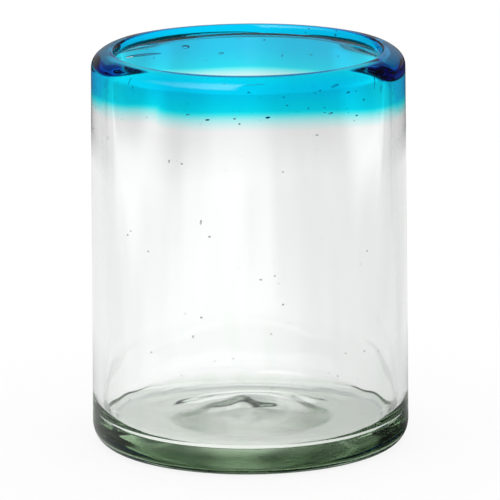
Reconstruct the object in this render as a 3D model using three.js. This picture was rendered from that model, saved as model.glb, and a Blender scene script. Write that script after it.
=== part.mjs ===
// Double old fashioned glass: a straight hand-blown tumbler with a heavy base and a coloured lip.
// Millimetres, +Z up. The origin is the middle of the ring that the glass stands on.
import * as THREE from "three";

// Whole glass, outside
const height = 108;
const footRadius = 43.2; // bottom of the straight wall, where the heel starts
const wallDraw = 0.7; // how far the wall draws in, on each side, up to the lip

// Blown bubble: wall and floor
const wallThickness = 2.6; // of the lower wall
const wallSwell = 2.2; // how much thicker the wall gets on its way up to the lip
const swellStart = 20; // height where it begins to thicken
const floorThickness = 2.6; // the bubble's own skin over the base gather
const floorHeight = 7; // top of the flat ring of the floor, above the table
const floorFillet = 4.2; // inside corner between floor and wall
const floorRing = 13; // width of the flat ring between that corner and the mound
const moundHeight = 4.5; // pushed-up middle of the floor
const cornerRadius = 3.6; // round bottom corner of the bubble, bedded in the base gather

// Base gather
const heelWidth = 4.2;
const heelHeight = 5.6;
const bearingRing = 16.5; // width of the flat ring that rests on the table
const kickHeight = 3.4; // depth of the hollow under the base
const gatherEdge = 8.4; // height where the gather thins out on the outside of the wall

// Lip
const lipWidth = 6.5; // from the outside of the wall to the nose of the lip
const shoulderWidth = 5.4; // outer rounding, in to the crest
const shoulderHeight = 4.5;
const noseHeight = 2.5; // from the crest down to the innermost line of the lip
const skirtDepth = 13.2; // from the crest down to the thin edge of the coloured skirt
const scarfHeight = 3.6; // slope over which the skirt takes up the wall's thickness

// Pontil scar
const scarRadius = 9.5;
const scarHollow = 3.2; // radius of the open middle
const scarThickness = 1.9;
const scarDrop = 1.1; // how much thinner the crown gets over the twist
const scarTwist = 0.85; // share of a turn that the twist takes before it breaks off
const scarLobes = [3, 7]; // waves round its broken edge, coarse and fine
const scarLobeDepth = 0.4;

// Fused joints
const fuseGap = 0.3; // left between neighbouring gathers
const thinEdge = 0.4; // thickness to which a gather thins out
const seatMargin = 1.2; // flat of the kick that shows round the scar

// Facets
const turnSteps = 64;
const curveSteps = 4;
const quarter = Math.PI / 2;

// Straight outside of the wall, and its inside, which is straight and then a parabola
const wallTop = height - shoulderHeight;
const rimRadius = footRadius - wallDraw;
const outerRadius = (z) => footRadius - (wallDraw * (z - heelHeight)) / (wallTop - heelHeight);
const swellShare = (z) => Math.max(z - swellStart, 0) / (wallTop - swellStart);
const innerRadius = (z) => outerRadius(z) - wallThickness - wallSwell * swellShare(z) ** 2;

// Lines that neighbouring pieces share
const filletTop = floorHeight + floorFillet;
const floorRadius = innerRadius(filletTop) - floorFillet;
const moundRadius = floorRadius - floorRing;
const skinHeight = floorHeight - floorThickness;
const cornerTop = skinHeight + cornerRadius;
const skirtEdge = height - skirtDepth;
const scarfTop = skirtEdge + scarfHeight;
const seatRadius = scarRadius + scarLobes.length * scarLobeDepth + seatMargin;

// Control point of the inside parabola from its start up to a height
function swellControl(z) {
  const halfway = (z + swellStart) / 2;
  return new THREE.Vector2(outerRadius(halfway) - wallThickness, halfway);
}

// S-curve from the path's last point, level at both ends
function levelSwell(path, radius, z) {
  const from = path.currentPoint.clone();
  const middle = (from.x + radius) / 2;
  path.bezierCurveTo(middle, from.y, middle, z, radius, z);
}

// Solid of revolution about Z from a profile of radius and height
function turned(path) {
  const profile = path.getPoints(curveSteps);
  return new THREE.LatheGeometry(profile, turnSteps).rotateX(quarter);
}

// The bubble: out along the skin under the floor, up the outside, over the scarf, down the inside
function bubbleGeometry() {
  const path = new THREE.Path();
  const inset = thinEdge + fuseGap;
  const corner = outerRadius(cornerTop) - inset;
  const bend = swellControl(scarfTop);
  path.moveTo(0, skinHeight + moundHeight);
  levelSwell(path, moundRadius, skinHeight);
  path.lineTo(corner - cornerRadius, skinHeight);
  path.absarc(corner - cornerRadius, cornerTop, cornerRadius, -quarter, 0);
  path.lineTo(outerRadius(gatherEdge) - inset, gatherEdge);
  path.lineTo(outerRadius(gatherEdge), gatherEdge);
  path.lineTo(outerRadius(skirtEdge), skirtEdge);
  path.lineTo(outerRadius(skirtEdge) - thinEdge, skirtEdge);
  path.lineTo(innerRadius(scarfTop), scarfTop);
  path.quadraticCurveTo(bend.x, bend.y, innerRadius(swellStart), swellStart);
  path.lineTo(innerRadius(filletTop), filletTop);
  path.absarc(floorRadius, filletTop, floorFillet, 0, -quarter, true);
  path.lineTo(moundRadius, floorHeight);
  levelSwell(path, 0, floorHeight + moundHeight);
  return turned(path);
}

// The base gather: kick, bearing ring and heel, then back in under the bubble
function baseGeometry() {
  const path = new THREE.Path();
  const bearingRadius = footRadius - heelWidth;
  const edge = gatherEdge - fuseGap;
  const corner = outerRadius(cornerTop) - thinEdge;
  const bed = skinHeight - fuseGap;
  path.moveTo(0, kickHeight);
  path.lineTo(seatRadius, kickHeight);
  levelSwell(path, bearingRadius - bearingRing, 0);
  path.lineTo(bearingRadius, 0);
  path.absellipse(bearingRadius, heelHeight, heelWidth, heelHeight, -quarter, 0);
  path.lineTo(outerRadius(edge), edge);
  path.lineTo(outerRadius(edge) - thinEdge, edge);
  path.lineTo(corner, cornerTop - fuseGap);
  path.absarc(corner - cornerRadius, cornerTop - fuseGap, cornerRadius, 0, -quarter, true);
  path.lineTo(moundRadius, bed);
  levelSwell(path, 0, bed + moundHeight);
  return turned(path);
}

// The lip: thin skirt edge, outside, shoulder, crest, nose, into the wall's inside, down the scarf
function lipGeometry() {
  const path = new THREE.Path();
  const crestRadius = rimRadius - shoulderWidth;
  const noseRadius = rimRadius - lipWidth;
  const nose = height - noseHeight;
  const edge = skirtEdge + fuseGap;
  const foot = scarfTop + fuseGap;
  const middle = (nose + foot) / 2;
  const bend = swellControl(foot);
  const lean = (innerRadius(foot) - bend.x) / (foot - bend.y);
  const footPull = innerRadius(foot) + lean * (middle - foot);
  path.moveTo(outerRadius(edge) - thinEdge, edge);
  path.lineTo(outerRadius(edge), edge);
  path.lineTo(rimRadius, wallTop);
  path.absellipse(crestRadius, wallTop, shoulderWidth, shoulderHeight, 0, quarter);
  path.absellipse(crestRadius, nose, crestRadius - noseRadius, noseHeight, quarter, 2 * quarter);
  path.bezierCurveTo(noseRadius, middle, footPull, middle, innerRadius(foot), foot);
  path.closePath();
  return turned(path);
}

// The scar: a ring seated on the flat of the kick, its edge lobed and its crown falling with the twist
function scarGeometry() {
  const path = new THREE.Path();
  const seat = kickHeight - fuseGap;
  const crown = (scarHollow + scarRadius) / 2;
  path.moveTo(scarHollow, seat);
  path.quadraticCurveTo(scarHollow, seat - scarThickness, crown, seat - scarThickness);
  path.quadraticCurveTo(scarRadius, seat - scarThickness, scarRadius, seat);
  path.closePath();
  const geometry = turned(path);
  const points = geometry.attributes.position;
  for (let i = 0; i < points.count; i += 1) {
    const point = new THREE.Vector3().fromBufferAttribute(points, i);
    const angle = Math.atan2(point.y, point.x) + Math.PI;
    const turn = angle / (2 * Math.PI);
    const ramp = turn < scarTwist ? turn / scarTwist : (1 - turn) / (1 - scarTwist);
    const outward = (Math.hypot(point.x, point.y) - scarHollow) / (scarRadius - scarHollow);
    const wave = scarLobes.reduce((sum, count) => sum + Math.sin(count * angle), 0);
    const lobe = scarLobeDepth * wave * outward;
    const thinning = 1 - (scarDrop / scarThickness) * ramp;
    points.setX(i, point.x - lobe * Math.cos(angle));
    points.setY(i, point.y - lobe * Math.sin(angle));
    points.setZ(i, seat - (seat - point.z) * thinning);
  }
  return geometry;
}

// Clear recycled glass, its green in the thick, the aqua of the lip, and the grey of a broken face
const pieces = [
  ["clear_bubble", bubbleGeometry(), { color: 0xe9efec, roughness: 0.04, opacity: 0.35 }],
  ["base_gather", baseGeometry(), { color: 0x8fa888, roughness: 0.05, opacity: 0.6 }],
  ["aqua_lip", lipGeometry(), { color: 0x00b8db, roughness: 0.05, opacity: 0.75 }],
  ["pontil_scar", scarGeometry(), { color: 0xb9c0bb, roughness: 0.3, opacity: 0.7 }],
];

const glass = new THREE.Group();
for (const [name, geometry, finish] of pieces) {
  const material = new THREE.MeshStandardMaterial({ metalness: 0, transparent: true, ...finish });
  const mesh = new THREE.Mesh(geometry, material);
  mesh.name = name;
  glass.add(mesh);
}

export default glass;
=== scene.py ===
import math

import bmesh
import bpy
from mathutils import Euler, Matrix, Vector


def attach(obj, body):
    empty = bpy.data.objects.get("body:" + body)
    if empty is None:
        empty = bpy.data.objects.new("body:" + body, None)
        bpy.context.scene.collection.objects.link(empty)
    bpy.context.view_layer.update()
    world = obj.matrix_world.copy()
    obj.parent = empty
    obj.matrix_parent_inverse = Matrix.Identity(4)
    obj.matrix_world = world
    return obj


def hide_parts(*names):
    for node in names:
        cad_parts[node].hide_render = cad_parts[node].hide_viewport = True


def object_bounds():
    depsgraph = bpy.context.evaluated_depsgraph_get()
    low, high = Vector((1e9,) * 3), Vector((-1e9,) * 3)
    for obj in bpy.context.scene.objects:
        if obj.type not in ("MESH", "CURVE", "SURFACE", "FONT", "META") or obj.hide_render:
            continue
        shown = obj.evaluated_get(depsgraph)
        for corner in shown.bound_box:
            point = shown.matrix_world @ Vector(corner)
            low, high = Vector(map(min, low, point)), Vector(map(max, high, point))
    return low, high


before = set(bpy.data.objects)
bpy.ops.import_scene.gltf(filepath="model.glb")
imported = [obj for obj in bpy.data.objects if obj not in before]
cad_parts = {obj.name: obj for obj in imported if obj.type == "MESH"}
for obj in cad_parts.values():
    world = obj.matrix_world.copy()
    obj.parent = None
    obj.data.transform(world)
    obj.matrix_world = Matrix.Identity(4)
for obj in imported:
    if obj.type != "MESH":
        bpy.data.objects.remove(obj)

cadLow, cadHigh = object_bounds()
mm = 0.001
glassHeight = cadHigh.z
footRadius = cadHigh.x
print("frame loaded: glass", round(glassHeight / mm, 1), "mm high,",
      round(2 * footRadius / mm, 1), "mm wide")


def toLinear(hexColour):
    parts = [int(hexColour[i:i + 2], 16) / 255 for i in (1, 3, 5)]
    return tuple(c / 12.92 if c <= 0.04045 else ((c + 0.055) / 1.055) ** 2.4 for c in parts) + (1.0,)


def addNode(tree, kind, settings=None, links=None):
    node = tree.nodes.new(kind)
    for name, value in (settings or {}).items():
        if isinstance(name, int) or name in node.inputs:
            node.inputs[name].default_value = value
        else:
            setattr(node, name, value)
    for name, source in (links or {}).items():
        tree.links.new(source, node.inputs[name])
    return node


# Camera: a long lens, a little above the rim, rolled by under half a degree
cameraSet = {
    "photoSide": 500,
    "focalPixels": 5156,
    "sensor": 36,
    "place": (0.00014, -1.3659, 0.3692),
    "tilt": 13.06,  # degrees down
    "roll": -0.41,
    "clipEnd": 20,
}
cameraData = bpy.data.cameras.new("photoCamera")
cameraData.sensor_width = cameraSet["sensor"]
cameraData.lens = cameraSet["focalPixels"] * cameraSet["sensor"] / cameraSet["photoSide"]
cameraData.clip_end = cameraSet["clipEnd"]
camera = bpy.data.objects.new("photoCamera", cameraData)
camera.location = cameraSet["place"]
aim = Euler((math.radians(90 - cameraSet["tilt"]), 0, 0)).to_matrix()
camera.rotation_euler = (aim @ Matrix.Rotation(math.radians(cameraSet["roll"]), 3, "Z")).to_euler()
bpy.context.scene.collection.objects.link(camera)
bpy.context.scene.camera = camera
print("camera placed")


# Turned shapes. Angles run from the front, so 0 faces the camera and 90 is the right-hand side.
# A run is "skin", which meets air, or "fused", which lies in the neighbouring gather.
columns = 192
onAxis = 1e-9  # radius below which all columns share a point
steps = {  # spans along each run of a profile
    "scarfRise": 5, "scarfFade": 16,
    "bed": 24, "bedBend": 10, "seat": 12, "scar": 32,
    "outside": 40, "inside": 60, "fillet": 12, "floorEdge": 12, "floor": 56,
    "kick": 28, "bearing": 8, "heel": 14, "side": 4,
    "lipOutside": 16, "shoulder": 20, "nose": 12, "lipInside": 40,
}
wanderWaves = (  # share, waves round the glass, share of the phase, drift per mm of height
    (0.5, 2, 1.0, 0.031),
    (0.3, 3, -1.7, 0.055),
    (0.2, 5, 2.3, -0.083),
)


def smooth(t):
    t = min(max(t, 0.0), 1.0)
    return t * t * (3 - 2 * t)


def spread(start, end, count, power=1.0):
    return [start + (end - start) * (i / count) ** power for i in range(count + 1)]


def quarterTurn(count):
    return [math.pi / 2 * i / count for i in range(1, count + 1)]


def wander(angle, z, phase):
    return sum(share * math.sin(waves * angle + turn * phase + drift * (z / mm))
               for share, waves, turn, drift in wanderWaves)


def turnOf(angle, middle):
    return (math.degrees(angle) - middle + 180) % 360 - 180


def turnedPiece(name, runsAt, closed=False):
    verts, faces, fused, rows, first = [], [], [], [], None
    for k in range(columns):
        angle = 2 * math.pi * k / columns
        column, flags = [], []
        for kind, points in runsAt(angle):
            for i, (r, z) in enumerate(points):
                if i == 0 and column:
                    continue
                if i > 0:
                    flags.append(kind == "fused")
                if r < onAxis and first:
                    column.append(first[len(column)])
                    continue
                column.append(len(verts))
                verts.append((r * math.sin(angle), -r * math.cos(angle), z))
        if closed:
            verts.pop()
            column[-1] = column[0]
        first = first or column
        rows.append((column, flags))
    for k in range(columns):
        here, flags = rows[k]
        there = rows[(k + 1) % columns][0]
        for j in range(len(here) - 1):
            ring = [here[j], there[j], there[j + 1], here[j + 1]]
            faces.append([v for i, v in enumerate(ring) if v not in ring[:i]])
            fused.append(1.0 if flags[j] else 0.0)
    mesh = bpy.data.meshes.new(name)
    mesh.from_pydata(verts, [], faces)
    mesh.attributes.new("fused", "FLOAT", "FACE").data.foreach_set("value", fused)
    mesh.shade_smooth()
    mesh.update()
    piece = bpy.data.objects.new(name, mesh)
    bpy.context.scene.collection.objects.link(piece)
    return piece


# Shading breaks where skin meets a fused face
def sharpenJoints(mesh):
    work = bmesh.new()
    work.from_mesh(mesh)
    layer = work.faces.layers.float["fused"]
    for edge in work.edges:
        marks = [face[layer] for face in edge.link_faces]
        edge.smooth = max(marks) == min(marks)
    work.to_mesh(mesh)
    work.free()
    mesh.update()


# Blown wall. It thickens slowly up to the lip at front and back, and only at a bead at the sides.
wall = {
    "thickness": 2.6 * mm,
    "draw": 0.7 * mm,
    "heelHeight": 5.6 * mm,
    "heelWidth": 4.2 * mm,
    "wobble": 0.15 * mm,  # out of round, inwards only
    "wobblePhase": 0.4,
    "wobbleRun": 20 * mm,  # it sets in over this height above the heel
    "thickWander": 0.25 * mm,
    "thickPhase": 2.1,
    "cord": 0.02 * mm,  # upright ripples on the inside
    "cordWaves": ((17, 0.02, 0), (29, -0.03, 2)),  # ripples round, drift per mm, phase
    "calmFrom": 60 * mm,  # wander and ripples die out up the wall
    "calmRun": 45 * mm,
    "calmSide": 0.3,  # and towards the sides, by the cosine of the angle
    "calmSideRun": 0.4,
    "taperFrom": 20 * mm,
    "taperTo": 104.0 * mm,
    "slope": 4.5,  # degrees, where the taper ends
    "beadFrom": 102.4 * mm,
    "beadLean": 1.0 * mm,  # higher on the left, lower on the right
    "beadTop": 104.9 * mm,  # it narrows up to this towards the front
    "beadTurn": 0.3,  # cosine of the angle where it starts to narrow
    "beadTurnRun": 0.45,
    "sideFrom": 0.45,  # cosine of the angle: all bead below this, all taper above the next
    "sideTo": 0.85,
    "dents": (  # marks of the shaping tools on the base: angle, height, depth, half widths
        (40, 4.5, 0.22, 6, 2.6),
        (-36, 4.5, 0.15, 6, 3.0),
        (128, 5.0, 0.25, 8, 3.0),
        (-140, 4.5, 0.25, 8, 3.0),
    ),
}
lip = {
    "width": 6.5 * mm,
    "shoulderWidth": 5.4 * mm,
    "shoulderHeight": 4.5 * mm,
    "backFlat": 1.9 * mm,  # its rounding starts that much higher at the back, so it is flatter there
    "backFrom": 0.2,  # cosine of the angle from the back, where that starts
    "backRun": 0.5,
    "noseHeight": 2.5 * mm,
    "wave": 0.15 * mm,
    "wavePhase": 1.3,
}
wallTop = glassHeight - lip["shoulderHeight"]
noseLevel = glassHeight - lip["noseHeight"]


def dented(angle, z):
    depth = 0
    for middle, level, deep, halfTurn, halfHeight in wall["dents"]:
        aside = turnOf(angle, middle) / halfTurn
        above = (z / mm - level) / halfHeight
        depth += deep * mm * math.exp(-aside * aside - above * above)
    return depth


def outerRadius(z, angle):
    above = z - wall["heelHeight"]
    straight = footRadius - wall["draw"] * above / (wallTop - wall["heelHeight"])
    outOfRound = wall["wobble"] * (0.5 + 0.5 * wander(angle, z, wall["wobblePhase"]))
    outOfRound *= smooth(above / wall["wobbleRun"])
    return straight - outOfRound - dented(angle, z)


# Growth of the wall's thickness: a parabola up to a height, then a cubic into the nose of the lip
def swollen(z, top, slope):
    full = slope * (top - wall["taperFrom"]) / 2
    if z < top:
        return full * (max(z - wall["taperFrom"], 0) / (top - wall["taperFrom"])) ** 2
    share = min((z - top) / (noseLevel - top), 1)
    rise = slope * (noseLevel - top)
    rest = lip["width"] - wall["thickness"] - full
    return full + rise * share + (3 * rest - 2 * rise) * share ** 2 + (rise - 2 * rest) * share ** 3


def wallThickness(z, angle):
    facing = abs(math.cos(angle))
    taper = swollen(z, wall["taperTo"], math.tan(math.radians(wall["slope"])))
    start = wall["beadFrom"] - wall["beadLean"] * math.sin(angle)
    narrowing = smooth((math.cos(angle) - wall["beadTurn"]) / wall["beadTurnRun"])
    bead = swollen(z, start + (wall["beadTop"] - start) * narrowing, 0)
    tapered = smooth((facing - wall["sideFrom"]) / (wall["sideTo"] - wall["sideFrom"]))
    fading = 1 - smooth((z - wall["calmFrom"]) / wall["calmRun"])
    fading *= smooth((facing - wall["calmSide"]) / wall["calmSideRun"])
    uneven = wall["thickWander"] * wander(angle, z, wall["thickPhase"]) * fading
    ripple = sum(math.sin(count * angle + drift * z / mm + phase)
                 for count, drift, phase in wall["cordWaves"])
    cords = wall["cord"] * ripple * fading
    return wall["thickness"] + uneven + cords + bead + (taper - bead) * tapered


def innerRadius(z, angle):
    return outerRadius(z, angle) - wallThickness(z, angle)


# Aqua skirt: the level where its colour is full runs round unevenly, and it thins out below
skirt = {
    "side": 95.6 * mm,
    "frontRise": 3.4 * mm,
    "backRise": 0.3 * mm,
    "leftRise": 1.6 * mm,
    "leftFrom": 0.35,  # sine of the angle to the left, where that rise starts
    "leftRun": 0.45,
    "stepAngle": -33,
    "stepRise": 0.9 * mm,
    "stepEdge": 3,  # degrees in which the step goes up, and in which it runs out
    "stepRun": 22,
    "uneven": 0.25 * mm,
    "unevenPhase": 0.9,
    "fade": 5.0 * mm,
    "fadeCrowding": 1.8,  # rows stand closer at the top of the fade
    "quickShare": 0.6,
    "quick": 0.5 * mm,
    "slow": 2.1 * mm,
    "depth": 3.4 * mm,  # aqua at the level of full colour
    "leastWall": 0.15 * mm,  # clear glass that is left behind it there
    "rise": 4.6 * mm,  # from there up to where it takes the whole wall
    "seam": 0.1 * mm,  # narrow rows beside the joint keep its shading even
    "seamRun": 1.0 * mm,
    "overlap": 0.01 * mm,  # each fused face lies this deep in its neighbour
}


def fullColour(angle):
    facing = math.cos(angle)
    level = skirt["side"] + skirt["frontRise"] * max(facing, 0) ** 2
    level += skirt["backRise"] * max(-facing, 0) ** 2
    level += skirt["leftRise"] * smooth((-math.sin(angle) - skirt["leftFrom"]) / skirt["leftRun"])
    past = -turnOf(angle, skirt["stepAngle"])
    step = smooth(past / skirt["stepEdge"]) * (1 - smooth(past / skirt["stepRun"]))
    return level + skirt["stepRise"] * step + skirt["uneven"] * wander(2 * angle, 0, skirt["unevenPhase"])


def skirtShare(drop):
    tail = math.exp(-skirt["fade"] / skirt["slow"]) * (1 - skirt["quickShare"])
    quick = skirt["quickShare"] * math.exp(-drop / skirt["quick"])
    slow = (1 - skirt["quickShare"]) * math.exp(-drop / skirt["slow"])
    return (quick + slow - tail) / (1 - tail)


def scarfRun(angle, deeper):
    full = fullColour(angle)
    top = full + skirt["rise"]
    deep = min(skirt["depth"], wallThickness(full, angle) - skirt["leastWall"])
    points = [(innerRadius(top, angle), top)]
    for share in spread(1, 0, steps["scarfRise"])[1:]:
        z = full + skirt["rise"] * share
        depth = deep + (wallThickness(top, angle) - deep) * share
        points.append((outerRadius(z, angle) - depth - deeper, z))
    for drop in spread(0, skirt["fade"], steps["scarfFade"], skirt["fadeCrowding"])[1:-1]:
        z = full - drop
        points.append((outerRadius(z, angle) - deep * skirtShare(drop) - deeper, z))
    points.append((outerRadius(full - skirt["fade"], angle), full - skirt["fade"]))
    return points


# Base: floor with a pushed-up middle, bed of the green gather, kick and scar underneath
floorPlan = {
    "height": 7.0 * mm,
    "fillet": 3.0 * mm,  # inside corner in front
    "sideFillet": 2.6 * mm,  # more at the sides
    "backFillet": 0.6 * mm,  # at the back left and right
    "farFillet": 4.1 * mm,  # more in the middle of the back
    "farFrom": 0.6,  # cosine of the angle from the back, where that starts
    "farRun": 0.4,
    "frontFrom": -0.25,  # cosine of the angle where the front corner takes over
    "frontRun": 0.3,
    "ring": 13.0 * mm,
    "mound": 4.5 * mm,
    "skin": 2.6 * mm,
    "behind": 0.35,  # cosine of the angle where the back of the floor starts
    "ripple": 0.01 * mm,  # faint rings there
    "rippleWidth": 5.5 * mm,
    "rippleSway": 0.6,
    "rippleFrom": 8 * mm,
    "rippleTo": 34 * mm,
    "rippleFade": 4 * mm,
    "crease": 0.06 * mm,
    "creaseRadius": 35.4 * mm,
    "creaseWidth": 0.8 * mm,
}
gather = {
    "edge": 8.4 * mm,
    "bedCorner": 36 * mm,  # radius where the bed turns up to the edge
    "bearingRing": 16.5 * mm,
    "kick": 4.6 * mm,  # depth of the hollow
    "shift": 11.0 * mm,  # its crown lies that far back, so light through the mound meets a parallel face
    "frontReach": 32.0 * mm,  # from the crown to the ends of the hollow
    "backReach": 18.0 * mm,
    "seat": 10.5 * mm,
    "twist": 0.5 * mm,  # spiral folds that the rod left when it was twisted off
    "twistArms": ((1.0, 2, -1.0, 0.6), (0.5, 3, 1.3, 2.1)),  # share, arms, winding, phase
    "twistWidth": 3.0 * mm,
    "twistFade": 6 * mm,
    "twistFront": 0.05,  # share of the folds that is left in front
    "twistBehind": 0.05,  # cosine of the angle where they start to grow
    "twistBehindRun": 0.6,
}
scar = {
    "crown": 6.2 * mm,  # radius of the broken ring
    "width": 3.4 * mm,
    "drop": 0.15 * mm,
    "shift": (-1.4 * mm, 5.0 * mm),
    "lobes": (3, 7),
    "lobeDepth": 0.5 * mm,
    "steady": 0.6,  # share of the ring's height that is even, and share that changes round it
    "broken": 0.4,
    "brokenPhase": 4.6,
    "edge": 2 * mm,
    "roof": 0.9 * mm,  # how far the scar reaches up into the base
    "roofEdge": 4 * mm,
}
bearing = footRadius - wall["heelWidth"]
kickRadius = bearing - gather["bearingRing"]


def filletAt(angle):
    facing = math.cos(angle)
    front = floorPlan["fillet"] + floorPlan["sideFillet"] * math.sin(angle) ** 4
    far = smooth((-facing - floorPlan["farFrom"]) / floorPlan["farRun"])
    back = floorPlan["backFillet"] + floorPlan["farFillet"] * far
    return back + (front - back) * smooth((facing - floorPlan["frontFrom"]) / floorPlan["frontRun"])


def floorCorner(angle):
    top = floorPlan["height"] + filletAt(angle)
    return innerRadius(top, angle) - filletAt(angle), top


moundRadius = floorCorner(0)[0] - floorPlan["ring"]


def floorTop(r, angle):
    sway = floorPlan["rippleSway"] * math.sin(angle + 1)
    ripple = math.sin(2 * math.pi * r / floorPlan["rippleWidth"] + sway)
    behind = smooth((floorPlan["behind"] - math.cos(angle)) / floorPlan["behind"])
    inside = smooth(r / floorPlan["rippleFrom"])
    inside *= smooth((floorPlan["rippleTo"] - r) / floorPlan["rippleFade"])
    inside *= behind
    across = (r - floorPlan["creaseRadius"]) / floorPlan["creaseWidth"]
    crease = floorPlan["crease"] * math.exp(-across * across) * behind
    mound = floorPlan["mound"] * smooth(1 - r / moundRadius)
    return floorPlan["height"] + mound + floorPlan["ripple"] * ripple * inside - crease


def kickLevel(r, angle):
    ahead = r * math.cos(angle) + gather["shift"]
    ahead *= kickRadius / (gather["frontReach"] if ahead > 0 else gather["backReach"])
    aside = math.hypot(r * math.sin(angle), ahead)
    level = gather["kick"] * smooth(1 - aside / kickRadius)
    reach = smooth(r / gather["twistFade"]) * smooth((kickRadius - aside) / gather["twistFade"])
    behind = smooth((gather["twistBehind"] - math.cos(angle)) / gather["twistBehindRun"])
    reach *= gather["twistFront"] + (1 - gather["twistFront"]) * behind
    turns = r / gather["twistWidth"]
    twisted = sum(share * math.sin(arms * angle + winding * turns + phase)
                  for share, arms, winding, phase in gather["twistArms"])
    return max(level + gather["twist"] * twisted * reach, 0)


def scarLevel(r, angle):
    x = r * math.sin(angle) - scar["shift"][0]
    y = -r * math.cos(angle) - scar["shift"][1]
    turn = math.atan2(x, -y)
    lobe = sum(math.sin(count * turn + count) for count in scar["lobes"])
    aside = (math.hypot(x, y) - scar["crown"] - scar["lobeDepth"] * lobe) / scar["width"]
    broken = scar["steady"] + scar["broken"] * math.sin(turn + scar["brokenPhase"])
    inside = smooth((gather["seat"] - r) / scar["edge"])
    return kickLevel(r, angle) - scar["drop"] * math.exp(-aside * aside) * broken * inside


def seatRun(angle, lower):
    points = []
    for r in spread(0, gather["seat"], steps["seat"]):
        shift = lower if r < gather["seat"] else 0
        roof = scar["roof"] * smooth((gather["seat"] - r) / scar["roofEdge"])
        points.append((r, kickLevel(r, angle) + roof - shift))
    return points


def bedRun(angle, lower):
    start, edge = gather["bedCorner"], gather["edge"]
    low = floorPlan["height"] - floorPlan["skin"]
    reach = outerRadius(edge, angle) - start
    points = [(r, floorTop(r, angle) - floorPlan["skin"] - lower) for r in spread(0, start, steps["bed"])]
    for i, turn in enumerate(quarterTurn(steps["bedBend"]), 1):
        shift = lower if i < steps["bedBend"] else 0
        points.append((start + reach * math.sin(turn), edge - (edge - low) * math.cos(turn) - shift))
    return points


def bubbleRuns(angle):
    top = fullColour(angle) + skirt["rise"]
    edge = fullColour(angle) - skirt["fade"]
    corner, filletTop = floorCorner(angle)
    bend = filletAt(angle)
    outside = spread(gather["edge"], edge, steps["outside"])
    inside = [top, top - skirt["seam"]] + spread(top - skirt["seamRun"], filletTop, steps["inside"])
    cup = [(innerRadius(z, angle), z) for z in inside]
    for turn in quarterTurn(steps["fillet"]):
        cup.append((corner + bend * math.cos(turn), filletTop - bend * math.sin(turn)))
    radii = spread(corner, floorPlan["rippleTo"], steps["floorEdge"])
    radii += spread(floorPlan["rippleTo"], 0, steps["floor"])[1:]
    cup += [(r, floorTop(r, angle)) for r in radii[1:]]
    return [
        ("fused", bedRun(angle, skirt["overlap"])),
        ("skin", [(outerRadius(z, angle), z) for z in outside]),
        ("fused", scarfRun(angle, -skirt["overlap"])[::-1]),
        ("skin", cup),
    ]


def baseRuns(angle):
    rim = gather["backReach"] + gather["shift"]
    kick = [(r, kickLevel(r, angle)) for r in spread(gather["seat"], rim, steps["kick"])]
    flat = [(r, 0) for r in spread(rim, bearing, steps["bearing"])]
    heel = []
    for turn in quarterTurn(steps["heel"]):
        z = wall["heelHeight"] * (1 - math.cos(turn))
        heel.append((bearing + wall["heelWidth"] * math.sin(turn) - dented(angle, z), z))
    side = [(outerRadius(z, angle), z) for z in spread(wall["heelHeight"], gather["edge"], steps["side"])]
    return [
        ("fused", seatRun(angle, -skirt["overlap"])),
        ("skin", kick + flat[1:] + heel + side[1:]),
        ("fused", bedRun(angle, -skirt["overlap"])[::-1]),
    ]


def lipRuns(angle):
    join = fullColour(angle) + skirt["rise"]
    edge = fullColour(angle) - skirt["fade"]
    top = glassHeight - lip["wave"] * (0.5 + 0.5 * wander(angle, 0, lip["wavePhase"]))
    shoulder = wallTop + lip["backFlat"] * smooth((-math.cos(angle) - lip["backFrom"]) / lip["backRun"])
    crest = outerRadius(shoulder, angle) - lip["shoulderWidth"]
    nose = innerRadius(noseLevel, angle)
    outside = [(outerRadius(z, angle), z) for z in spread(edge, shoulder, steps["lipOutside"])]
    over = []
    for turn in quarterTurn(steps["shoulder"]):
        z = shoulder + (top - shoulder) * math.sin(turn)
        over.append((crest + lip["shoulderWidth"] * math.cos(turn), z))
    for turn in quarterTurn(steps["nose"]):
        z = noseLevel + (top - noseLevel) * math.cos(turn)
        over.append((crest - (crest - nose) * math.sin(turn), z))
    inside = spread(noseLevel, join + skirt["seam"], steps["lipInside"])[1:] + [join]
    return [
        ("skin", outside + over + [(innerRadius(z, angle), z) for z in inside]),
        ("fused", scarfRun(angle, skirt["overlap"])),
    ]


def scarRuns(angle):
    under = [(r, scarLevel(r, angle)) for r in spread(0, gather["seat"], steps["scar"])]
    return [
        ("skin", under),
        ("fused", seatRun(angle, skirt["overlap"])[::-1]),
    ]


bubblePiece = turnedPiece("clearBubble", bubbleRuns)
basePiece = turnedPiece("greenBase", baseRuns)
lipPiece = turnedPiece("aquaLip", lipRuns, closed=True)
scarPiece = turnedPiece("pontilScar", scarRuns)
print("pieces turned")


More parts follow.
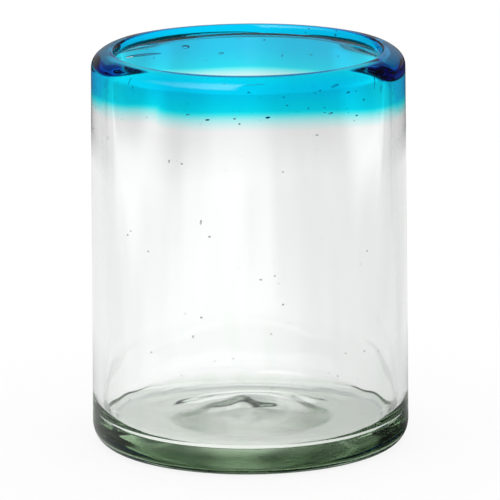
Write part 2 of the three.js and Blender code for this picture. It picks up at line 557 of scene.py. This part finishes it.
# One glass for each gather. Its fused faces have index 1, so light goes straight on into the next one.
def glassMaterial(name, look):
    material = bpy.data.materials.new(name)
    material.use_nodes = True
    tree = material.node_tree
    tree.nodes.clear()
    place = addNode(tree, "ShaderNodeTexCoord").outputs["Object"]
    mask = addNode(tree, "ShaderNodeAttribute", {"attribute_name": "fused"}).outputs["Fac"]
    index = addNode(tree, "ShaderNodeMapRange", {"To Min": look["index"], "To Max": 1.0}, {"Value": mask})
    skin = addNode(tree, "ShaderNodeMath", {"operation": "SUBTRACT", 0: 1.0}, {1: mask})

    # Drawn-out cords and a fine grain
    wide, tall = (1 / (size * mm) for size in look["cord"])
    drawn = addNode(tree, "ShaderNodeMapping", {"Scale": (wide, wide, tall)}, {"Vector": place})
    cords = addNode(tree, "ShaderNodeTexNoise", {
        "Scale": 1.0, "Detail": 3.0, "Roughness": 0.45}, {"Vector": drawn.outputs[0]})
    grain = addNode(tree, "ShaderNodeTexNoise", {
        "Scale": 1 / (look["grain"] * mm), "Detail": 2.0}, {"Vector": place})
    height = addNode(tree, "ShaderNodeMath", {
        "operation": "MULTIPLY_ADD", 1: look["grainShare"],
    }, {0: grain.outputs["Fac"], 2: cords.outputs["Fac"]})
    bump = addNode(tree, "ShaderNodeBump", {
        "Distance": look["relief"] * mm}, {"Height": height.outputs[0], "Strength": skin.outputs[0]})

    # Streaks of colour on the skin, where the cords are, within a reach
    bandLow, bandHigh = look["streakBand"]
    band = addNode(tree, "ShaderNodeMapRange", {
        "From Min": bandLow, "From Max": bandHigh}, {"Value": cords.outputs["Fac"]})
    along = addNode(tree, "ShaderNodeVectorMath", {
        "operation": "MULTIPLY", 1: look["tintAlong"]}, {0: place})
    reach = addNode(tree, "ShaderNodeVectorMath", {"operation": "LENGTH"}, {0: along.outputs[0]})
    inside = addNode(tree, "ShaderNodeMapRange", {
        "From Min": look["tintFrom"] * mm, "From Max": look["tintTo"] * mm,
    }, {"Value": reach.outputs["Value"]})
    share = addNode(tree, "ShaderNodeMath", {
        "operation": "MULTIPLY"}, {0: band.outputs[0], 1: inside.outputs[0]})
    own = addNode(tree, "ShaderNodeMath", {
        "operation": "MULTIPLY"}, {0: share.outputs[0], 1: skin.outputs[0]})
    tint = addNode(tree, "ShaderNodeMix", {
        "data_type": "RGBA", 6: toLinear("#FFFFFF"), 7: toLinear(look["streak"])}, {0: own.outputs[0]})

    # Dull specks, and the worn middle of the underside, which is less worn round the axis
    dullLow, dullHigh = look["dullBand"]
    least, most = look["roughness"]
    dull = addNode(tree, "ShaderNodeMapRange", {
        "From Min": dullLow, "From Max": dullHigh, "To Min": least, "To Max": most,
    }, {"Value": grain.outputs["Fac"]})
    level = addNode(tree, "ShaderNodeVectorMath", {"operation": "MULTIPLY", 1: (1, 1, 0)}, {0: place})
    aside = addNode(tree, "ShaderNodeVectorMath", {"operation": "LENGTH"}, {0: level.outputs[0]})
    worn = addNode(tree, "ShaderNodeMapRange", {
        "From Min": look["wornFrom"] * mm, "From Max": look["wornTo"] * mm, "To Max": look["worn"],
    }, {"Value": aside.outputs["Value"]})
    middle = addNode(tree, "ShaderNodeMapRange", {
        "From Min": look["middleFrom"] * mm, "From Max": look["middleTo"] * mm,
        "To Min": look["middleShare"],
    }, {"Value": aside.outputs["Value"]})
    rough = addNode(tree, "ShaderNodeMath", {
        "operation": "MULTIPLY_ADD"}, {0: worn.outputs[0], 1: middle.outputs[0], 2: dull.outputs[0]})
    polish = addNode(tree, "ShaderNodeMath", {
        "operation": "MULTIPLY"}, {0: rough.outputs[0], 1: skin.outputs[0]})

    shader = addNode(tree, "ShaderNodeBsdfPrincipled", {"IOR": look["index"], "Transmission Weight": 1.0}, {
        "Base Color": tint.outputs[2], "Roughness": polish.outputs[0],
        "IOR": index.outputs[0], "Normal": bump.outputs[0]})
    volume = addNode(tree, "ShaderNodeVolumeAbsorption", {
        "Color": toLinear(look["volume"]), "Density": look["density"]})
    addNode(tree, "ShaderNodeOutputMaterial", None, {
        "Surface": shader.outputs[0], "Volume": volume.outputs[0]})
    return material


# The fire-polished skin runs on from gather to gather: faint upright cords, and no grain to speak of.
# Sizes are in mm.
polished = {
    "index": 1.5,
    "cord": (6, 50),  # across and along
    "grain": 3,
    "grainShare": 0.15,
    "relief": 0.006,
    "roughness": (0.0, 0.003),
    "dullBand": (0.4, 0.7),  # levels of the grain where it dulls, and of the cords where they are tinted
    "streakBand": (0.35, 0.65),
    "tintAlong": (0, 0, 1),
    "worn": 0.0,  # roughness under the base, radii between which it sets in, its share in the middle
    "wornFrom": 23,
    "wornTo": 19,
    "middleFrom": 9,
    "middleTo": 12,
    "middleShare": 0.6,
}
# Clear recycled glass, fire-polished: almost colourless, with cords that gently bend what is behind
clearGlass = glassMaterial("blownClearGlass", dict(
    polished, streak="#FBFDFC", tintFrom=85, tintTo=70, volume="#7CA089", density=6))
# The same melt in the thick: a grey bottle green that deepens with every millimetre, dull in its hollow
greenGlass = glassMaterial("greenTingedGlass", dict(
    polished, worn=0.25, streak="#F4F6F2", tintFrom=7, tintTo=4, volume="#49A000", density=29))
# Aqua wrap, fire-polished: a saturated cyan that goes to blue where the lip is thick
aquaGlass = glassMaterial("aquaWrapGlass", dict(
    polished, streak="#E9F9FE", tintFrom=98, tintTo=103, volume="#00FAFE", density=1800))
# Broken glass of the scar: a grey, finely chipped face that blurs what is under it
brokenGlass = glassMaterial("brokenGreyGlass", dict(
    polished, worn=0.25, cord=(5, 5), grain=0.8, grainShare=0.3, relief=0.02, roughness=(0.0, 0.06),
    streak="#B9BFBB", tintAlong=(1, 1, 0), tintFrom=10, tintTo=6, volume="#7CA089", density=12))
print("glass mixed")


# Air seeds: small voids scattered under the outer skin, each a flipped ball a little drawn out
seedForm = {
    "outward": 0.02,  # least of normal times radius, in metres, so that only upright outsides have seeds
    "segments": 8,
    "rings": 5,
    "rarity": 3.0,  # the higher, the fewer large ones
    "sizeSeed": 7.0,  # added to the seed for the draw of the sizes
}
seedPlans = {
    "clear": {
        "Per square metre": 3600, "Smallest": 0.16 * mm, "Largest": 0.55 * mm,
        "Shallow": 0.6 * mm, "Deep": 1.9 * mm, "Stretch": 1.5, "Seed": 11, "Glass": clearGlass},
    "green": {
        "Per square metre": 26000, "Smallest": 0.14 * mm, "Largest": 0.5 * mm,
        "Shallow": 0.7 * mm, "Deep": 2.6 * mm, "Stretch": 1.1, "Seed": 5, "Glass": greenGlass},
    "aqua": {
        "Per square metre": 32000, "Smallest": 0.14 * mm, "Largest": 0.5 * mm,
        "Shallow": 0.5 * mm, "Deep": 1.7 * mm, "Stretch": 1.7, "Seed": 23, "Glass": aquaGlass},
}


def seedTree():
    tree = bpy.data.node_groups.new("airSeeds", "GeometryNodeTree")
    tree.interface.new_socket("Geometry", in_out="INPUT", socket_type="NodeSocketGeometry")
    for name in ("Per square metre", "Smallest", "Largest", "Shallow", "Deep", "Stretch"):
        tree.interface.new_socket(name, in_out="INPUT", socket_type="NodeSocketFloat")
    tree.interface.new_socket("Seed", in_out="INPUT", socket_type="NodeSocketInt")
    tree.interface.new_socket("Glass", in_out="INPUT", socket_type="NodeSocketMaterial")
    tree.interface.new_socket("Geometry", in_out="OUTPUT", socket_type="NodeSocketGeometry")
    given = addNode(tree, "NodeGroupInput").outputs

    # Points on the faces that look outwards and aren't fused
    normal = addNode(tree, "GeometryNodeInputNormal")
    position = addNode(tree, "GeometryNodeInputPosition")
    level = addNode(tree, "ShaderNodeVectorMath", {
        "operation": "MULTIPLY", 1: (1, 1, 0)}, {0: position.outputs[0]})
    facing = addNode(tree, "ShaderNodeVectorMath", {
        "operation": "DOT_PRODUCT"}, {0: normal.outputs[0], 1: level.outputs[0]})
    outward = addNode(tree, "ShaderNodeMath", {
        "operation": "GREATER_THAN", 1: seedForm["outward"]}, {0: facing.outputs["Value"]})
    fused = addNode(tree, "GeometryNodeInputNamedAttribute", {"data_type": "FLOAT", "Name": "fused"})
    skin = addNode(tree, "ShaderNodeMath", {
        "operation": "SUBTRACT"}, {0: outward.outputs[0], 1: fused.outputs[0]})
    chosen = addNode(tree, "ShaderNodeMath", {"operation": "GREATER_THAN", 1: 0.5}, {0: skin.outputs[0]})
    points = addNode(tree, "GeometryNodeDistributePointsOnFaces", None, {
        "Mesh": given["Geometry"], "Selection": chosen.outputs[0],
        "Density": given["Per square metre"], "Seed": given["Seed"]})

    # Each is sunk into the glass
    depth = addNode(tree, "FunctionNodeRandomValue", None, {
        2: given["Deep"], 3: given["Shallow"], 8: given["Seed"]})
    inward = addNode(tree, "ShaderNodeMath", {"operation": "MULTIPLY", 1: -1.0}, {0: depth.outputs[1]})
    sunk = addNode(tree, "ShaderNodeVectorMath", {
        "operation": "SCALE"}, {0: points.outputs["Normal"], "Scale": inward.outputs[0]})
    bedded = addNode(tree, "GeometryNodeSetPosition", None, {
        "Geometry": points.outputs["Points"], "Offset": sunk.outputs[0]})
    plain = addNode(tree, "GeometryNodeRemoveAttribute", {"Name": "fused"}, {0: bedded.outputs[0]})

    # Many small balls and few large ones, drawn out round the glass
    sizeSeed = addNode(tree, "ShaderNodeMath", {
        "operation": "ADD", 1: seedForm["sizeSeed"]}, {0: given["Seed"]})
    chance = addNode(tree, "FunctionNodeRandomValue", None, {8: sizeSeed.outputs[0]})
    rare = addNode(tree, "ShaderNodeMath", {
        "operation": "POWER", 1: seedForm["rarity"]}, {0: chance.outputs[1]})
    size = addNode(tree, "ShaderNodeMapRange", None, {
        "Value": rare.outputs[0], "To Min": given["Smallest"], "To Max": given["Largest"]})
    long = addNode(tree, "ShaderNodeMath", {
        "operation": "MULTIPLY"}, {0: size.outputs[0], 1: given["Stretch"]})
    scale = addNode(tree, "ShaderNodeCombineXYZ", None, {
        0: long.outputs[0], 1: size.outputs[0], 2: size.outputs[0]})
    around = addNode(tree, "ShaderNodeVectorMath", {
        "operation": "CROSS_PRODUCT", 0: (0, 0, 1)}, {1: points.outputs["Normal"]})
    turned = addNode(tree, "FunctionNodeAlignRotationToVector", {"axis": "X"}, {"Vector": around.outputs[0]})
    ball = addNode(tree, "GeometryNodeMeshUVSphere", {
        "Segments": seedForm["segments"], "Rings": seedForm["rings"], "Radius": 0.5})
    soft = addNode(tree, "GeometryNodeSetShadeSmooth", None, {0: ball.outputs["Mesh"]})
    hollow = addNode(tree, "GeometryNodeFlipFaces", None, {0: soft.outputs[0]})
    seeds = addNode(tree, "GeometryNodeInstanceOnPoints", None, {
        "Points": plain.outputs[0], "Instance": hollow.outputs[0],
        "Rotation": turned.outputs[0], "Scale": scale.outputs[0]})
    real = addNode(tree, "GeometryNodeRealizeInstances", None, {0: seeds.outputs[0]})
    joined = addNode(tree, "GeometryNodeJoinGeometry", None, {0: real.outputs[0]})
    tree.links.new(given["Geometry"], joined.inputs[0])
    painted = addNode(tree, "GeometryNodeSetMaterial", None, {
        "Geometry": joined.outputs[0], "Material": given["Glass"]})
    addNode(tree, "NodeGroupOutput", None, {0: painted.outputs[0]})
    return tree


seeding = seedTree()
for piece, plan in ((bubblePiece, "clear"), (basePiece, "green"), (lipPiece, "aqua")):
    modifier = piece.modifiers.new("airSeeds", "NODES")
    modifier.node_group = seeding
    for item in seeding.interface.items_tree:
        if item.in_out == "INPUT" and item.name in seedPlans[plan]:
            modifier[item.identifier] = seedPlans[plan][item.name]
    before = len(piece.data.polygons)
    graph = bpy.context.evaluated_depsgraph_get()
    evaluated = piece.evaluated_get(graph)
    seeded = bpy.data.meshes.new_from_object(evaluated, preserve_all_data_layers=True, depsgraph=graph)
    piece.modifiers.clear()
    seeded.materials.clear()  # one slot, so that faces added later have this glass too
    seeded.materials.append(seedPlans[plan]["Glass"])
    piece.data = seeded
    added = (len(seeded.polygons) - before) // (seedForm["segments"] * seedForm["rings"])
    print("seeded", piece.name, "with", added, "seeds")
scarPiece.data.materials.append(brokenGlass)


# Drawn-out air streaks: angle, height, depth, length and width in mm, and tilt in degrees
streaks = {
    "clear": (
        (-30, 84.9, 0.8, 0.9, 0.5, 80),
        (-17.7, 69.2, 1.0, 1.3, 0.5, 80),
        (25.3, 92.0, 0.9, 0.9, 0.4, 10),
        (-21, 38, 1.1, 0.8, 0.4, 85),
        (12, 47, 1.0, 0.6, 0.4, 30),
    ),
    "aqua": (
        (-131.5, 101.6, 3.2, 14, 0.7, 3),
        (-153.3, 102.2, 3.0, 2.6, 1.1, 4),
        (-168.9, 99.6, 2.6, 1.6, 0.6, 0),
        (-49, 104.6, 1.3, 2.2, 0.35, 62),
        (-47, 103.2, 1.0, 1.2, 0.3, 75),
        (2.5, 106.3, 1.2, 5.5, 0.25, 3),
        (33.2, 104.4, 1.3, 2.6, 0.6, 14),
        (39, 102.3, 1.2, 1.3, 0.6, 8),
        (53.2, 103.2, 1.4, 3.4, 0.45, 84),
        (57, 101.2, 1.2, 2.2, 0.4, 80),
        (-22.3, 97.9, 0.9, 1.0, 0.5, 5),
        (-14.8, 96.9, 0.5, 1.2, 0.5, 8),
        (-5, 97.4, 0.5, 0.8, 0.4, 0),
        (6.9, 97.6, 0.7, 1.3, 0.6, 6),
        (31, 97.4, 0.8, 1.4, 0.6, 12),
        (42.7, 95.8, 0.6, 0.8, 0.4, 10),
        (14, 100.5, 1.2, 0.7, 0.45, 0),
        (22, 99.3, 1.0, 0.8, 0.4, 40),
        (47, 99.5, 1.5, 0.9, 0.5, 20),
    ),
}
# Folds: thin ribbons of air caught where the lip rolled over, with their thickness, and sloping up and
# outwards by the last angle
folds = (
    (-143, 105.25, 5.0, 58, 2.1, 0, 0.14, 45),
    (132, 105.25, 5.0, 32, 1.7, 0, 0.14, 45),
    (172, 105.2, 5.2, 40, 0.7, 0, 0.1, 45),
)
airForm = {
    "sides": 10,
    "leastRings": 7,
    "ringLength": 1.2,  # mm
    "upright": 90,  # slope of a streak, which is as thick as it is wide
}


# The faces point into the air, since the void lies in the glass
def addAir(piece, places):
    work = bmesh.new()
    work.from_mesh(piece.data)
    sides = airForm["sides"]
    for turn, height, deep, length, width, tilt, *ribbon in places:
        thick, slope = ribbon or (width, airForm["upright"])
        rings = max(airForm["leastRings"], int(length / airForm["ringLength"]))
        middle, lean, roll = math.radians(turn), math.radians(tilt), math.radians(slope)
        radius = outerRadius(height * mm, middle) - deep * mm

        def bent(ring, side):
            polar = math.pi * ring / rings
            around = 2 * math.pi * (side + 0.5) / sides
            along = math.cos(polar) * length / 2 * mm
            broad = math.sin(polar) * math.cos(around) * width / 2 * mm
            flat = math.sin(polar) * math.sin(around) * thick / 2 * mm
            rise = broad * math.sin(roll) + flat * math.cos(roll)
            outward = broad * math.cos(roll) - flat * math.sin(roll)
            angle = middle + (along * math.cos(lean) - rise * math.sin(lean)) / radius
            z = height * mm + along * math.sin(lean) + rise * math.cos(lean)
            return (radius + outward) * math.sin(angle), -(radius + outward) * math.cos(angle), z

        rows = [[work.verts.new(bent(0, 0))] * sides]
        for ring in range(1, rings):
            rows.append([work.verts.new(bent(ring, side)) for side in range(sides)])
        rows.append([work.verts.new(bent(rings, 0))] * sides)
        for upper, lower in zip(rows, rows[1:]):
            for side in range(sides):
                following = (side + 1) % sides
                corners = (upper[side], lower[side], lower[following], upper[following])
                work.faces.new(dict.fromkeys(corners)).smooth = True
    work.to_mesh(piece.data)
    work.free()
    piece.data.update()


addAir(bubblePiece, streaks["clear"])
addAir(lipPiece, streaks["aqua"] + folds)
print("air caught")

for piece, node, slot in (
    (bubblePiece, "clear_bubble", "clear_glass"),
    (basePiece, "base_gather", "green_tinged_glass"),
    (lipPiece, "aqua_lip", "aqua_glass"),
    (scarPiece, "pontil_scar", "broken_glass"),
):
    sharpenJoints(piece.data)
    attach(piece, "root")
    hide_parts(node)
print("pieces placed")

# Studio: pale paper with painted light, brightest left of the middle, with painted shade far off and on the
# right and a painted reflection of it; a grey backdrop with dark sides, a soft window of light. A pair gives
# where a change starts and ends.
paper = {
    "radius": 2.0,
    "edges": 64,
    "drop": 0.05 * mm,  # air film under the standing ring
    "colour": "#F9F9F9",
    "shadowShare": 0.14,
    "low": 0.91,  # painted light of the paper as the glass sees it, at the sides and in the middle
    "high": 1.13,
    "brightRight": (34 * mm, -8 * mm),
    "brightLeft": (-65 * mm, -14 * mm),
    "far": 0.86,  # painted shade: share of that light that is left far off, and on the right
    "farAway": (0.45, 0.62),
    "right": 0.88,
    "rightAway": (0.045, 0.12),
    "mirrored": 0.85,  # painted reflection: what polished glass mirrors of it, in a ring behind and to the left
    "mirrorOuter": (0.43, 0.38),
    "mirrorInner": (0.09, 0.15),
    "mirrorNear": 0.5,  # painted shade in that reflection: share of it close to the glass
    "mirrorHeading": (-0.5, 1, 0),
    "mirrorTurn": (-0.5, 0.4),
}
studio = {
    "backLeft": -42,  # edges of the lit backdrop, degrees from straight behind
    "backRight": 35,
    "backSoft": 0.05,  # radians
    "backLevel": 0.36,
    "sideLevel": 0.02,
    "horizonLevel": 0.85,
    "horizon": (0.11, 0.03),  # heights are parts of a unit sphere
    "topLevel": 0.03,
    "top": (0.27, 0.42),
    "reflectedFront": 0.04,  # what polished glass mirrors: dark in front, pale behind
    "reflectedBack": 0.25,
    "reflectedTurn": (0.75, 0.98),
    "windowLevel": 2.6,
    "windowRight": (-9, -17),  # degrees from the front
    "windowLeft": (-105, -35),
    "windowLow": (0.52, 0.7),
    "windowHigh": (1.0, 0.97),
    "ambient": 1.1,
}
white = (1, 1, 1, 1)


# White paper, matt: white to the camera apart from a soft shadow; the glass sees it in painted light and
# shade, and mirrors a painted reflection of it
def palePaper():
    material = bpy.data.materials.new("palePaper")
    material.use_nodes = True
    tree = material.node_tree
    tree.nodes.clear()
    path = addNode(tree, "ShaderNodeLightPath").outputs
    place = addNode(tree, "ShaderNodeTexCoord").outputs["Object"]
    axes = addNode(tree, "ShaderNodeSeparateXYZ", None, {0: place})
    distance = addNode(tree, "ShaderNodeVectorMath", {"operation": "LENGTH"}, {0: place}).outputs["Value"]

    # To the camera
    diffuse = addNode(tree, "ShaderNodeBsdfDiffuse", {"Color": toLinear(paper["colour"])})
    glow = addNode(tree, "ShaderNodeEmission", {"Color": white, "Strength": 1.0})
    direct = addNode(tree, "ShaderNodeMixShader", {
        0: paper["shadowShare"]}, {1: glow.outputs[0], 2: diffuse.outputs[0]})

    # Through the glass: painted light, brightest left of the middle, and painted shade far off and on the
    # right
    fromRight = addNode(tree, "ShaderNodeMapRange", {
        "From Min": paper["brightRight"][0], "From Max": paper["brightRight"][1],
        "interpolation_type": "SMOOTHSTEP"}, {"Value": axes.outputs["X"]})
    fromLeft = addNode(tree, "ShaderNodeMapRange", {
        "From Min": paper["brightLeft"][0], "From Max": paper["brightLeft"][1],
        "interpolation_type": "SMOOTHSTEP"}, {"Value": axes.outputs["X"]})
    # painted pool of light on the paper, left of the middle
    paintedPool = addNode(tree, "ShaderNodeMath", {
        "operation": "MULTIPLY"}, {0: fromRight.outputs[0], 1: fromLeft.outputs[0]})
    lit = addNode(tree, "ShaderNodeMapRange", {
        "To Min": paper["low"], "To Max": paper["high"]}, {"Value": paintedPool.outputs[0]})
    far = addNode(tree, "ShaderNodeMapRange", {
        "From Min": paper["farAway"][0], "From Max": paper["farAway"][1],
        "To Min": 1.0, "To Max": paper["far"]}, {"Value": distance})
    right = addNode(tree, "ShaderNodeMapRange", {
        "From Min": paper["rightAway"][0], "From Max": paper["rightAway"][1],
        "To Min": 1.0, "To Max": paper["right"]}, {"Value": axes.outputs["X"]})
    # painted shade of the paper far off and on the right
    shade = addNode(tree, "ShaderNodeMath", {
        "operation": "MULTIPLY"}, {0: far.outputs[0], 1: right.outputs[0]})
    level = addNode(tree, "ShaderNodeMath", {
        "operation": "MULTIPLY"}, {0: lit.outputs[0], 1: shade.outputs[0]})
    shown = addNode(tree, "ShaderNodeEmission", {"Color": white}, {"Strength": level.outputs[0]})

    # Mirrored in the glass: a painted reflection of the paper, pale in a ring behind and to the left, dark
    # in front, and in painted shade close to the glass
    outer = addNode(tree, "ShaderNodeMapRange", {
        "From Min": paper["mirrorOuter"][0], "From Max": paper["mirrorOuter"][1]}, {"Value": distance})
    inner = addNode(tree, "ShaderNodeMapRange", {
        "From Min": paper["mirrorInner"][0], "From Max": paper["mirrorInner"][1],
        "To Min": paper["mirrorNear"]}, {"Value": distance})
    ring = addNode(tree, "ShaderNodeMath", {
        "operation": "MULTIPLY"}, {0: outer.outputs[0], 1: inner.outputs[0]})
    near = addNode(tree, "ShaderNodeMapRange", {
        "To Min": studio["reflectedFront"], "To Max": paper["mirrored"]}, {"Value": ring.outputs[0]})
    heading = addNode(tree, "ShaderNodeVectorMath", {"operation": "NORMALIZE"}, {0: place})
    leaning = addNode(tree, "ShaderNodeVectorMath", {
        "operation": "DOT_PRODUCT", 1: paper["mirrorHeading"]}, {0: heading.outputs[0]})
    behind = addNode(tree, "ShaderNodeMapRange", {
        "From Min": paper["mirrorTurn"][0], "From Max": paper["mirrorTurn"][1],
    }, {"Value": leaning.outputs["Value"]})
    mirrored = addNode(tree, "ShaderNodeMix", {
        "A": studio["reflectedFront"]}, {"Factor": behind.outputs[0], "B": near.outputs[0]})
    # painted reflection: the paper's glow for glossy rays
    paintedMirror = addNode(tree, "ShaderNodeEmission", {"Color": white}, {"Strength": mirrored.outputs[0]})

    gloss = addNode(tree, "ShaderNodeMixShader", None, {
        0: path["Is Glossy Ray"], 1: diffuse.outputs[0], 2: paintedMirror.outputs[0]})
    through = addNode(tree, "ShaderNodeMixShader", None, {
        0: path["Is Transmission Ray"], 1: gloss.outputs[0], 2: shown.outputs[0]})
    mix = addNode(tree, "ShaderNodeMixShader", None, {
        0: path["Is Camera Ray"], 1: through.outputs[0], 2: direct.outputs[0]})
    addNode(tree, "ShaderNodeOutputMaterial", None, {"Surface": mix.outputs[0]})
    return material


bpy.ops.mesh.primitive_circle_add(
    radius=paper["radius"], vertices=paper["edges"], fill_type="NGON", location=(0, 0, -paper["drop"]))
floor = bpy.context.object
floor.name = "floor"
floor.data.materials.append(palePaper())


def studioWorld():
    world = bpy.data.worlds.new("studio")
    world.use_nodes = True
    tree = world.node_tree
    tree.nodes.clear()
    path = addNode(tree, "ShaderNodeLightPath").outputs
    place = addNode(tree, "ShaderNodeTexCoord").outputs["Generated"]
    axes = addNode(tree, "ShaderNodeSeparateXYZ", None, {0: place}).outputs

    # Through the glass: a backdrop with dark sides, the same in front, a pale horizon and a dark top
    middle = math.radians(studio["backRight"] + studio["backLeft"]) / 2
    half = math.radians(studio["backRight"] - studio["backLeft"]) / 2
    depth = addNode(tree, "ShaderNodeMath", {"operation": "ABSOLUTE"}, {0: axes["Y"]})
    turn = addNode(tree, "ShaderNodeMath", {"operation": "ARCTAN2"}, {0: axes["X"], 1: depth.outputs[0]})
    off = addNode(tree, "ShaderNodeMath", {"operation": "SUBTRACT", 1: middle}, {0: turn.outputs[0]})
    away = addNode(tree, "ShaderNodeMath", {"operation": "ABSOLUTE"}, {0: off.outputs[0]})
    back = addNode(tree, "ShaderNodeMapRange", {
        "From Min": half + studio["backSoft"], "From Max": half - studio["backSoft"],
        "To Min": studio["sideLevel"], "To Max": studio["backLevel"],
        "interpolation_type": "SMOOTHSTEP"}, {"Value": away.outputs[0]})
    horizon = addNode(tree, "ShaderNodeMapRange", {
        "From Min": studio["horizon"][0], "From Max": studio["horizon"][1],
        "To Max": studio["horizonLevel"]}, {"Value": axes["Z"]})
    lower = addNode(tree, "ShaderNodeMath", {
        "operation": "MAXIMUM"}, {0: horizon.outputs[0], 1: back.outputs[0]})
    top = addNode(tree, "ShaderNodeMapRange", {
        "From Min": studio["top"][0], "From Max": studio["top"][1]}, {"Value": axes["Z"]})
    seen = addNode(tree, "ShaderNodeMix", {
        "B": studio["topLevel"]}, {"Factor": top.outputs[0], "A": lower.outputs[0]})

    # Mirrored in the glass: pale behind, and a window in front on the left
    mirrored = addNode(tree, "ShaderNodeMapRange", {
        "From Min": studio["reflectedTurn"][0], "From Max": studio["reflectedTurn"][1],
        "To Min": studio["reflectedFront"], "To Max": studio["reflectedBack"]}, {"Value": axes["Y"]})
    front = addNode(tree, "ShaderNodeMath", {"operation": "MULTIPLY", 1: -1.0}, {0: axes["Y"]})
    aside = addNode(tree, "ShaderNodeMath", {"operation": "ARCTAN2"}, {0: axes["X"], 1: front.outputs[0]})
    edges = []
    for source, (start, end) in (
        (aside.outputs[0], map(math.radians, studio["windowRight"])),
        (aside.outputs[0], map(math.radians, studio["windowLeft"])),
        (axes["Z"], studio["windowLow"]),
        (axes["Z"], studio["windowHigh"]),
    ):
        edges.append(addNode(tree, "ShaderNodeMapRange", {
            "From Min": start, "From Max": end}, {"Value": source}))
    wide = addNode(tree, "ShaderNodeMath", {
        "operation": "MULTIPLY"}, {0: edges[0].outputs[0], 1: edges[1].outputs[0]})
    tall = addNode(tree, "ShaderNodeMath", {
        "operation": "MULTIPLY"}, {0: edges[2].outputs[0], 1: edges[3].outputs[0]})
    pane = addNode(tree, "ShaderNodeMath", {
        "operation": "MULTIPLY"}, {0: wide.outputs[0], 1: tall.outputs[0]})
    glint = addNode(tree, "ShaderNodeMath", {
        "operation": "MULTIPLY_ADD", 1: studio["windowLevel"]}, {0: pane.outputs[0], 2: mirrored.outputs[0]})

    byGlass = addNode(tree, "ShaderNodeMix", None, {
        "Factor": path["Is Transmission Ray"], "A": glint.outputs[0], "B": seen.outputs[0]})
    byGloss = addNode(tree, "ShaderNodeMix", {
        "A": studio["ambient"]}, {"Factor": path["Is Glossy Ray"], "B": byGlass.outputs[0]})
    level = addNode(tree, "ShaderNodeMix", {
        "B": 1.0}, {"Factor": path["Is Camera Ray"], "A": byGloss.outputs[0]})
    sky = addNode(tree, "ShaderNodeBackground", {"Color": white}, {"Strength": level.outputs[0]})
    addNode(tree, "ShaderNodeOutputWorld", None, {"Surface": sky.outputs[0]})
    return world


bpy.context.scene.world = studioWorld()
print("studio lit")

# Light passes many faces of thick glass before it leaves
bounces = {"glass": 48, "transparent": 16}
bpy.context.scene.view_settings.view_transform = "Standard"
cycles = bpy.context.scene.cycles
cycles.max_bounces = bounces["glass"]
cycles.glossy_bounces = bounces["glass"]
cycles.transmission_bounces = bounces["glass"]
cycles.transparent_max_bounces = bounces["transparent"]
